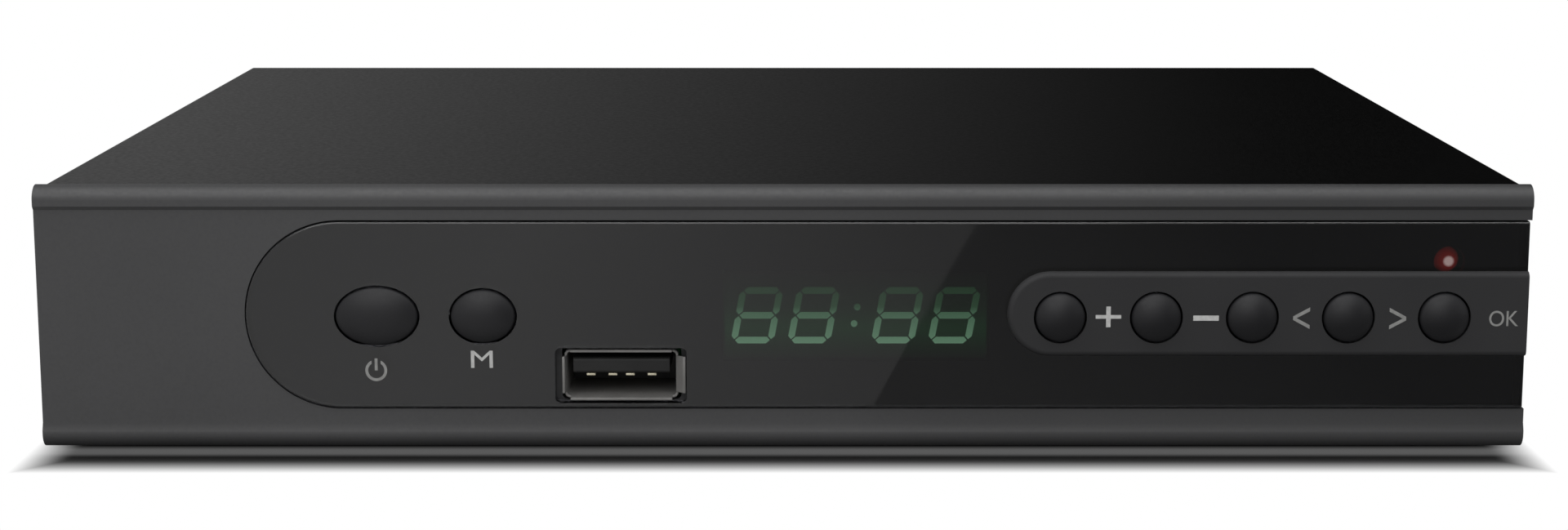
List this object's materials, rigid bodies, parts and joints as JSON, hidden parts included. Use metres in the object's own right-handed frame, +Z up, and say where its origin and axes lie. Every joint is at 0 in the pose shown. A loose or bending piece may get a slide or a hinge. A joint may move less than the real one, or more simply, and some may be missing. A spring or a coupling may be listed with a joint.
{
  "type": "digital tv receiver",
  "caption": "Low set-top box with a glossy half-round-ended window, push buttons, key strip, digit display, data socket and rear sockets on a sheet-metal case.",
  "frame": {"origin": "on the surface it stands on, under the middle of its box", "axes": "+X to the right along the front, +Y to the rear, +Z up; the front faces -Y"},
  "size_m": [0.17, 0.1308, 0.0325],
  "materials": {
    "panel_plastic": "fine-textured dark grey moulding",
    "lens_gloss": "polished smoked acrylic",
    "strip_satin": "satin dark grey",
    "cover_paint": "satin black powder coat",
    "chassis_paint": "satin black powder coat",
    "foot_rubber": "matt black rubber",
    "black_screw": "black oxide",
    "switch_body": "moulded",
    "board_laminate": "green solder mask",
    "bright_steel": "plated",
    "display_body": "moulded",
    "display_green": "dim lit green segments",
    "light_red": "lit red",
    "receiver_tint": "dark tinted",
    "connector_cream": "moulded",
    "chip_epoxy": "moulded epoxy",
    "sink_aluminium": "extruded",
    "capacitor_sleeve": "shrunk sleeve",
    "coil_ferrite": "ferrite",
    "can_tinplate": "tinplate",
    "socket_nickel": "nickel plate",
    "socket_black": "moulded",
    "contact_gold": "gold flash",
    "insulator_white": "moulded",
    "insert_yellow": "moulded",
    "insert_red": "moulded",
    "button_plastic": "satin dark grey moulding",
    "plunger_black": "moulded"
  },
  "bodies": {
    "case": {"front_panel": "panel_plastic", "front_lens": "lens_gloss", "key_strip": "strip_satin", "top_cover": "cover_paint", "bottom_chassis": "chassis_paint", "rubber_feet": "foot_rubber", "cover_screws": "black_screw", "panel_screws": "black_screw", "switch_housings": "switch_body", "front_board": "board_laminate", "front_board_screws": "bright_steel", "display_module": "display_body", "display_segments": "display_green", "status_light": "light_red", "remote_receiver": "receiver_tint", "board_connector": "connector_cream", "main_board": "board_laminate", "board_standoffs": "bright_steel", "board_screws": "bright_steel", "processor": "chip_epoxy", "heat_sink": "sink_aluminium", "memory_chips": "chip_epoxy", "crystal": "bright_steel", "capacitors": "capacitor_sleeve", "power_coils": "coil_ferrite", "tuner_can": "can_tinplate", "data_socket_shell": "socket_nickel", "data_socket_tongue": "socket_black", "data_socket_contacts": "contact_gold", "aerial_in_shell": "socket_nickel", "aerial_in_contact": "contact_gold", "aerial_out_shell": "socket_nickel", "aerial_out_pin": "contact_gold", "aerial_insulators": "insulator_white", "video_socket_shell": "socket_nickel", "video_socket_tongue": "socket_black", "jack_block": "socket_black", "jack_sleeves": "socket_nickel", "yellow_insert": "insert_yellow", "white_insert": "insulator_white", "red_insert": "insert_red", "power_inlet": "socket_black", "power_inlet_pin": "socket_nickel"},
    "power_key": {"power_button": "button_plastic", "power_plunger": "plunger_black"},
    "menu_key": {"menu_button": "button_plastic", "menu_plunger": "plunger_black"},
    "plus_key": {"plus_button": "button_plastic", "plus_plunger": "plunger_black"},
    "minus_key": {"minus_button": "button_plastic", "minus_plunger": "plunger_black"},
    "left_key": {"left_button": "button_plastic", "left_plunger": "plunger_black"},
    "right_key": {"right_button": "button_plastic", "right_plunger": "plunger_black"},
    "ok_key": {"ok_button": "button_plastic", "ok_plunger": "plunger_black"}
  },
  "joints": [
    {"name": "power_press", "type": "slide", "parent": "case", "child": "power_key", "axis": [0, 1, 0], "range_m": [0, 0.0008], "stiffness_N_per_m": 1500, "springref_m": -0.0003},
    {"name": "menu_press", "type": "slide", "parent": "case", "child": "menu_key", "axis": [0, 1, 0], "range_m": [0, 0.0008], "stiffness_N_per_m": 1500, "springref_m": -0.0003},
    {"name": "plus_press", "type": "slide", "parent": "case", "child": "plus_key", "axis": [0, 1, 0], "range_m": [0, 0.0008], "stiffness_N_per_m": 1500, "springref_m": -0.0003},
    {"name": "minus_press", "type": "slide", "parent": "case", "child": "minus_key", "axis": [0, 1, 0], "range_m": [0, 0.0008], "stiffness_N_per_m": 1500, "springref_m": -0.0003},
    {"name": "left_press", "type": "slide", "parent": "case", "child": "left_key", "axis": [0, 1, 0], "range_m": [0, 0.0008], "stiffness_N_per_m": 1500, "springref_m": -0.0003},
    {"name": "right_press", "type": "slide", "parent": "case", "child": "right_key", "axis": [0, 1, 0], "range_m": [0, 0.0008], "stiffness_N_per_m": 1500, "springref_m": -0.0003},
    {"name": "ok_press", "type": "slide", "parent": "case", "child": "ok_key", "axis": [0, 1, 0], "range_m": [0, 0.0008], "stiffness_N_per_m": 1500, "springref_m": -0.0003}
  ]
}
